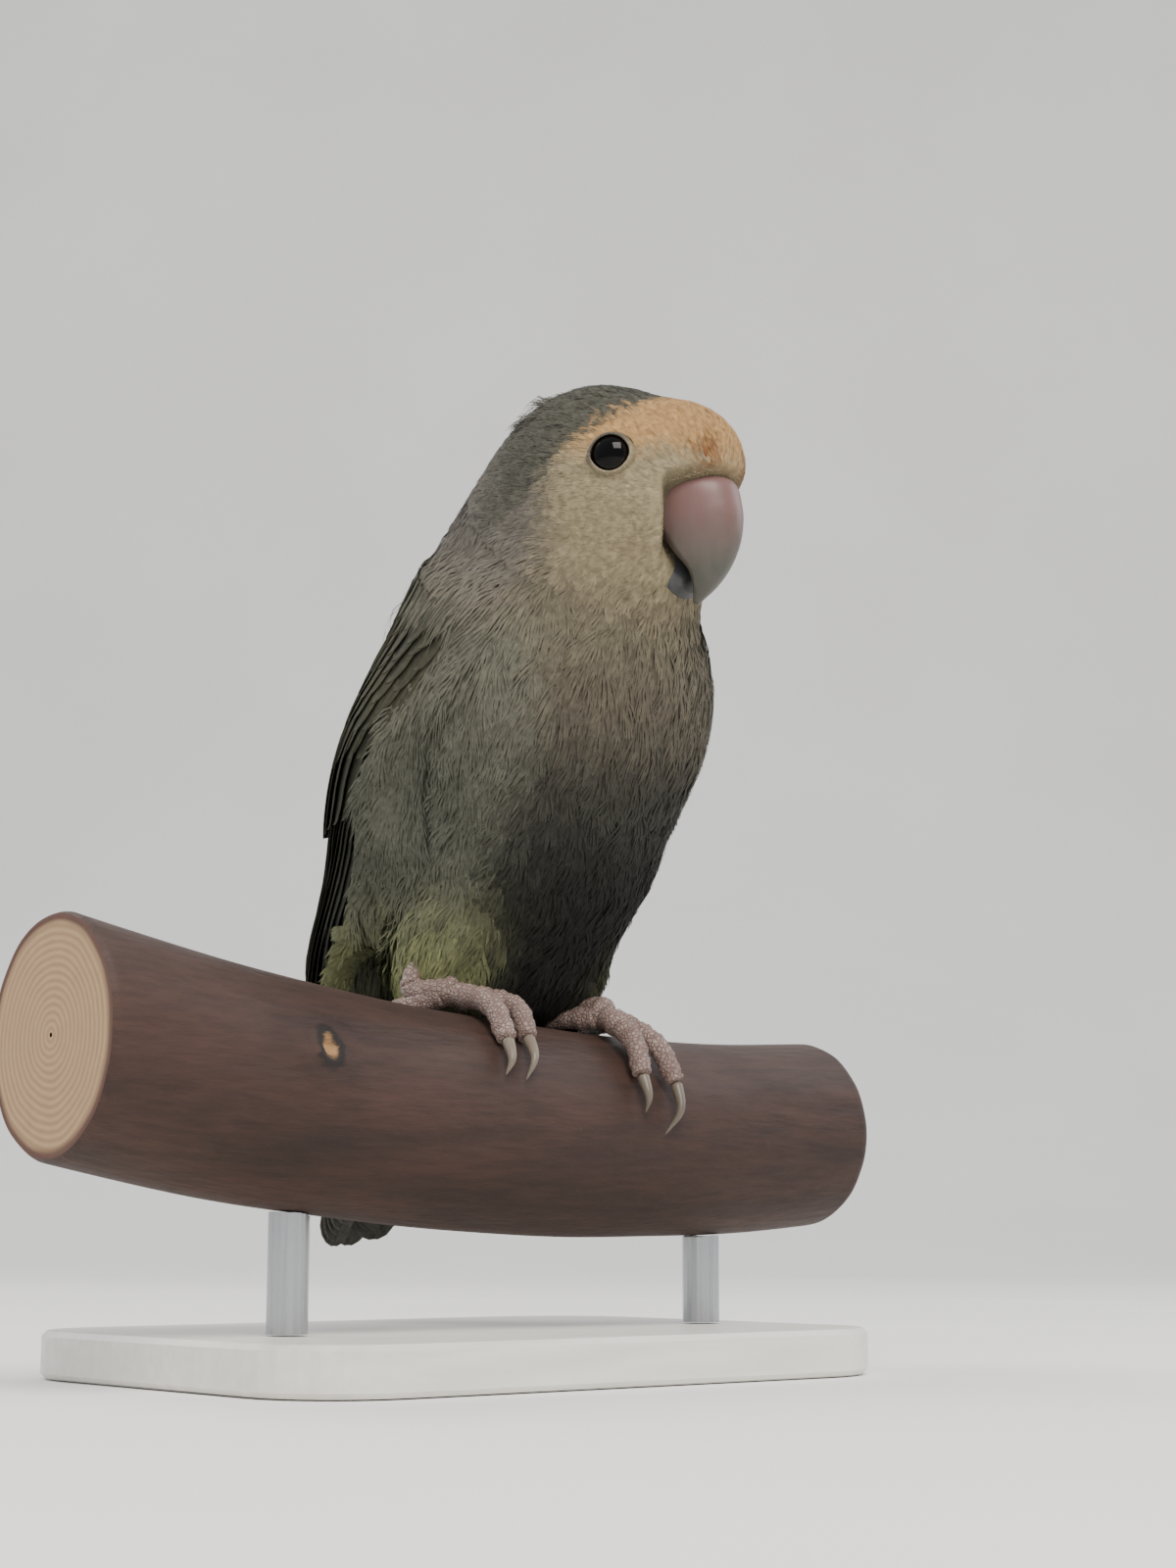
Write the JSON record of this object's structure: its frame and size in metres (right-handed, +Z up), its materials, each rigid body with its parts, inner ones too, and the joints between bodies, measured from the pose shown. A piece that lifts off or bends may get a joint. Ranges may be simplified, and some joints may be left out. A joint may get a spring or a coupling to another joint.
{
  "type": "peach-faced lovebird model on a perch",
  "caption": "Life-size still model of a perched small parrot gripping a short cut branch, held by rods over a flat base.",
  "frame": {"origin": "on the stand base's flat underside, straight below the point of the branch between the bird's feet", "axes": "+Z up, -Y the way that the bird's body faces, +X the bird's left, along the branch"},
  "size_m": [0.143, 0.0952, 0.1545],
  "materials": {
    "head_plumage": "soft cream to peach contour feathers",
    "neck_plumage": "soft beige and mauve-grey contour feathers",
    "body_plumage": "soft grey-beige to near-black contour feathers",
    "wing_feathers": "dark olive-grey vanes with paler edges",
    "tail_feathers": "dark grey vanes with pale tips",
    "thigh_plumage": "short yellowish-grey feathers",
    "foot_skin": "fine pinkish-grey scales",
    "claw_horn": "smooth dark horn",
    "upper_bill_horn": "satin pinkish horn, greener at the tip",
    "lower_bill_horn": "satin blue-grey horn",
    "eye": "wet gloss, near-black",
    "branch_bark": "smooth reddish-brown bark with a grey sheen",
    "stand_wood": "satin pale grey paint",
    "stand_steel": "brushed"
  },
  "bodies": {
    "root": {"head": "head_plumage", "neck": "neck_plumage", "torso": "body_plumage", "tail": "tail_feathers", "bill_upper": "upper_bill_horn", "bill_lower": "lower_bill_horn", "perch": "branch_bark", "stand_base": "stand_wood", "stand_rod_1": "stand_steel", "stand_rod_2": "stand_steel", "eye_right": "eye", "wing_right": "wing_feathers", "thigh_right": "thigh_plumage", "foot_right": "foot_skin", "claw_right_1": "claw_horn", "claw_right_2": "claw_horn", "claw_right_3": "claw_horn", "claw_right_4": "claw_horn", "eye_left": "eye", "wing_left": "wing_feathers", "thigh_left": "thigh_plumage", "foot_left": "foot_skin", "claw_left_1": "claw_horn", "claw_left_2": "claw_horn", "claw_left_3": "claw_horn", "claw_left_4": "claw_horn"}
  },
  "joints": []
}
